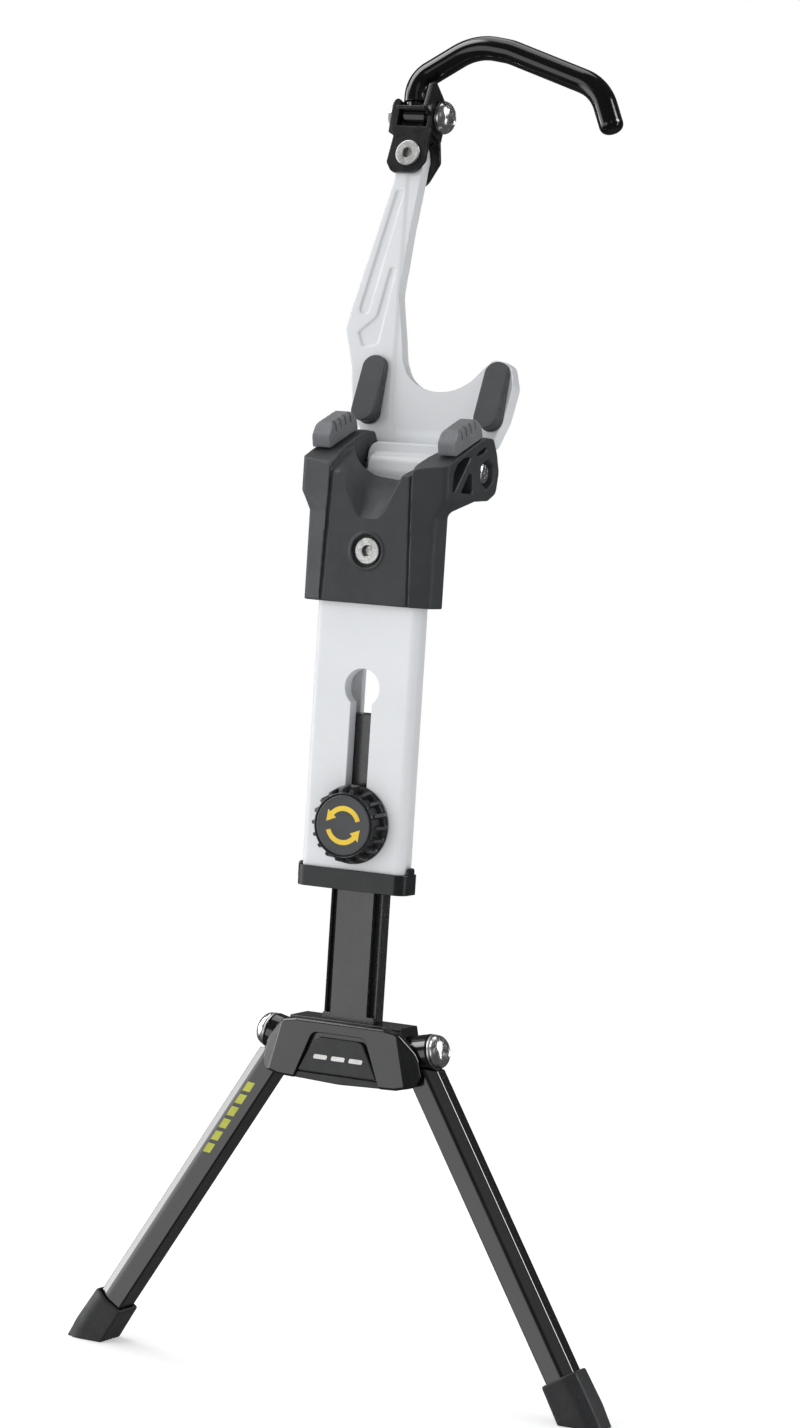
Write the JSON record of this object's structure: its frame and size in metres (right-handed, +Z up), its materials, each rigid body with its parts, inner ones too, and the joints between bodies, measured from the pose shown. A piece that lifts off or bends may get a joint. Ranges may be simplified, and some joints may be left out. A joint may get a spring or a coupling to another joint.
{
  "type": "bicycle repair stand",
  "caption": "Folding bipod stand that holds a bicycle by its bottom bracket shell, with a telescoping post, splayed legs, a padded cradle plate and a swinging hook.",
  "frame": {"origin": "axis of the bicycle's bottom bracket shell, at its middle, where the shell rests on the two blocks and the two pads", "axes": "+X to the stand's right as seen from the front, +Y to the back (the side the cradle plate leans to), +Z up along the post"},
  "size_m": [0.2456, 0.0982, 0.5487],
  "materials": {
    "satin_white_aluminium": "satin clear-anodised, pale silver-white",
    "dark_grey_plastic": "moulded glass-filled nylon, fine matte texture",
    "zinc_plated_steel": "zinc plated, dull silver",
    "polished_steel": "polished bright",
    "grey_rubber": "matte moulded rubber",
    "slate_rubber": "matte moulded rubber",
    "black_anodised_rail": "satin black anodised",
    "gloss_black_alloy": "gloss black coating",
    "gloss_black_plastic": "gloss black",
    "grey_disc_plastic": "satin dark grey",
    "satin_black_steel": "satin black coating",
    "black_rubber": "matte",
    "gloss_black_coating": "gloss black dipped coating"
  },
  "bodies": {
    "post": {"outer_post": "satin_white_aluminium", "post_collar": "dark_grey_plastic", "saddle_head": "dark_grey_plastic", "head_screw": "zinc_plated_steel", "head_nut": "zinc_plated_steel", "cradle_pivot_bolt": "polished_steel", "cradle_pivot_nut": "polished_steel", "left_block": "grey_rubber", "right_block": "grey_rubber"},
    "mast": {"inner_rail": "black_anodised_rail", "hub_body": "gloss_black_alloy", "hub_cover": "gloss_black_plastic", "hub_badge": "grey_disc_plastic", "left_leg_washer": "zinc_plated_steel", "left_leg_bolt": "polished_steel", "right_leg_washer": "zinc_plated_steel", "right_leg_bolt": "polished_steel", "clamp_stud": "zinc_plated_steel"},
    "knob": {"knob_grip": "dark_grey_plastic", "knob_cap": "grey_disc_plastic", "knob_insert": "zinc_plated_steel"},
    "left_leg": {"left_leg_tube": "gloss_black_alloy", "left_leg_lug": "satin_black_steel", "left_foot": "black_rubber"},
    "right_leg": {"right_leg_tube": "gloss_black_alloy", "right_leg_lug": "satin_black_steel", "right_foot": "black_rubber"},
    "cradle": {"cradle_plate": "satin_white_aluminium", "left_pad": "slate_rubber", "right_pad": "slate_rubber", "swivel_screw": "zinc_plated_steel", "swivel_nut": "zinc_plated_steel"},
    "bracket": {"hook_bracket": "satin_black_steel", "hook_washer": "zinc_plated_steel", "hook_bolt": "polished_steel", "hook_nut": "zinc_plated_steel"},
    "hook": {"hook_rod": "satin_black_steel", "hook_sleeve": "gloss_black_coating"}
  },
  "joints": [
    {"name": "mast_slide", "type": "slide", "parent": "post", "child": "mast", "axis": [0, 0, 1], "range_m": [0, 0.046]},
    {"name": "knob_turn", "type": "hinge", "parent": "mast", "child": "knob", "pos_m": [0, -0.0306, -0.1879], "axis": [0, 1, 0], "continuous": true},
    {"name": "left_leg_fold", "type": "hinge", "parent": "mast", "child": "left_leg", "pos_m": [-0.03, -0.0146, -0.278], "axis": [0.9744, 0, -0.225], "range_deg": [0, 180]},
    {"name": "right_leg_fold", "type": "hinge", "parent": "mast", "child": "right_leg", "pos_m": [0.03, -0.0146, -0.278], "axis": [0.9744, 0, 0.225], "range_deg": [0, 180]},
    {"name": "cradle_fold", "type": "hinge", "parent": "post", "child": "cradle", "pos_m": [0, 0.008, -0.0456], "axis": [-1, 0, 0], "range_deg": [0, 155]},
    {"name": "bracket_swivel", "type": "hinge", "parent": "cradle", "child": "bracket", "pos_m": [-0.0288, 0.0463, 0.08205], "axis": [0, 0.9767, -0.2147], "range_deg": [0, 60]},
    {"name": "hook_swing", "type": "hinge", "parent": "bracket", "child": "hook", "pos_m": [-0.0288, 0.05177, 0.09897], "axis": [-1, 0, 0], "range_deg": [0, 35]}
  ]
}
